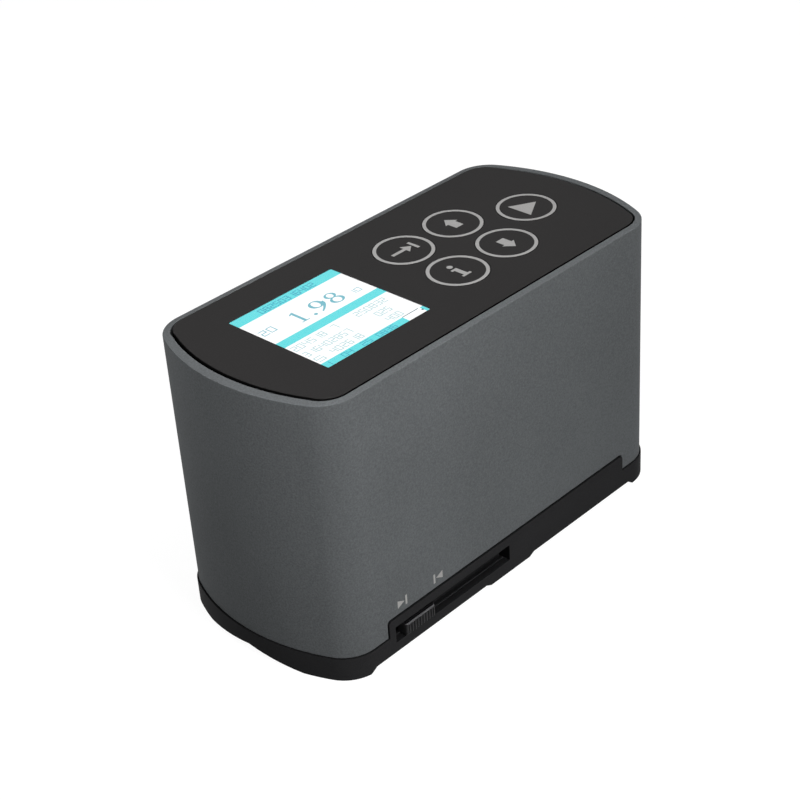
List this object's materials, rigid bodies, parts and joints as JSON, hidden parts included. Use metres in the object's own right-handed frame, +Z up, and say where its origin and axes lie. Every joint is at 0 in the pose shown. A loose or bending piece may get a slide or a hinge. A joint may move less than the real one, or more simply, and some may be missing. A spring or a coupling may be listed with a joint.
{
  "type": "surface roughness tester",
  "caption": "Pocket surface roughness tester: grey extruded sleeve on a black vee base, with a display, flush keys and a sliding stylus guard.",
  "frame": {"origin": "middle of the footprint on the surface that the feet stand on", "axes": "+X from the display end to the key end, -Y the side with the guard slide, +Z up"},
  "size_m": [0.1066, 0.0492, 0.0636],
  "materials": {
    "anodised_sleeve": "bead-blasted, grey anodised extrusion",
    "panel_black": "satin black acrylic panel",
    "window_clear": "clear display window",
    "lcd_screen": "colour display, lit",
    "foam_black": "black foam gasket",
    "key_black": "satin black key with a printed ring",
    "base_black": "black moulded plastic",
    "guard_black": "black moulded acetal",
    "steel": "bright turned steel",
    "brass": "turned brass",
    "frame_aluminium": "milled aluminium",
    "board_green": "green solder mask",
    "chip_black": "black moulded packages",
    "battery_blue": "shrink-wrapped cell",
    "lead_red": "insulated wire"
  },
  "bodies": {
    "housing": {"housing_sleeve": "anodised_sleeve", "top_panel": "panel_black", "display_window": "window_clear", "lcd_module": "lcd_screen", "display_gasket": "foam_black", "key_switches": "steel", "main_board": "board_green", "board_chips": "chip_black", "charge_socket": "steel", "board_screws": "steel", "battery_pack": "battery_blue", "battery_clamp": "steel", "clamp_screws": "steel", "battery_lead": "lead_red", "motor_lead": "lead_red", "base": "base_black", "base_screws": "steel", "guard_rail": "steel", "drive_frame": "frame_aluminium", "frame_screws": "steel", "guide_rods": "steel", "screw_bushes": "brass", "drive_motor": "steel", "motor_screws": "steel"},
    "menu_key": {"key_menu": "key_black"},
    "info_key": {"key_info": "key_black"},
    "up_key": {"key_up": "key_black"},
    "down_key": {"key_down": "key_black"},
    "start_key": {"key_start": "key_black"},
    "guard": {"guard_knob": "guard_black", "stylus_guard": "guard_black"},
    "screw": {"lead_screw": "steel", "screw_gear": "brass"},
    "motor_shaft": {"motor_gear": "steel"},
    "carriage_unit": {"carriage": "guard_black", "drive_nut": "brass", "pickup_pivot": "steel"},
    "pickup": {"pickup_tube": "steel", "skid_nose": "steel", "lift_pin": "steel", "stylus_pivot": "steel"},
    "stylus": {"stylus_arm": "steel"}
  },
  "joints": [
    {"name": "menu_key_press", "type": "slide", "parent": "housing", "child": "menu_key", "axis": [0, 0, -1], "range_m": [0, 0.00025], "stiffness_N_per_m": 3000, "springref_m": -0.0002},
    {"name": "info_key_press", "type": "slide", "parent": "housing", "child": "info_key", "axis": [0, 0, -1], "range_m": [0, 0.00025], "stiffness_N_per_m": 3000, "springref_m": -0.0002},
    {"name": "up_key_press", "type": "slide", "parent": "housing", "child": "up_key", "axis": [0, 0, -1], "range_m": [0, 0.00025], "stiffness_N_per_m": 3000, "springref_m": -0.0002},
    {"name": "down_key_press", "type": "slide", "parent": "housing", "child": "down_key", "axis": [0, 0, -1], "range_m": [0, 0.00025], "stiffness_N_per_m": 3000, "springref_m": -0.0002},
    {"name": "start_key_press", "type": "slide", "parent": "housing", "child": "start_key", "axis": [0, 0, -1], "range_m": [0, 0.00025], "stiffness_N_per_m": 3000, "springref_m": -0.0002},
    {"name": "guard_slide", "type": "slide", "parent": "housing", "child": "guard", "axis": [1, 0, 0], "range_m": [-0.0026, 0.0235]},
    {"name": "screw_turn", "type": "hinge", "parent": "housing", "child": "screw", "pos_m": [0.02, 0, 0.022], "axis": [1, 0, 0], "range_deg": [-20, 2900]},
    {"name": "motor_turn", "type": "hinge", "parent": "housing", "child": "motor_shaft", "pos_m": [0.04, 0, 0.032], "axis": [1, 0, 0], "range_deg": [-5390, 40]},
    {"name": "carriage_slide", "type": "slide", "parent": "housing", "child": "carriage_unit", "axis": [-1, 0, 0], "range_m": [0, 0.008]},
    {"name": "pickup_tilt", "type": "hinge", "parent": "carriage_unit", "child": "pickup", "pos_m": [0.021, 0, 0.0125], "axis": [0, -1, 0], "range_deg": [-1.2, 9.7]},
    {"name": "stylus_float", "type": "hinge", "parent": "pickup", "child": "stylus", "pos_m": [-0.0028, 0, 0.0125], "axis": [0, 1, 0], "range_deg": [-0.4, 0.4], "stiffness_Nm_per_rad": 0.05}
  ],
  "couplings": [
    {"joint": "motor_turn", "follows": "carriage_slide", "rad_per_m": -11669},
    {"joint": "screw_turn", "follows": "carriage_slide", "rad_per_m": 6283.2},
    {"joint": "pickup_tilt", "follows": "guard_slide", "rad_per_m": 7.0612}
  ]
}
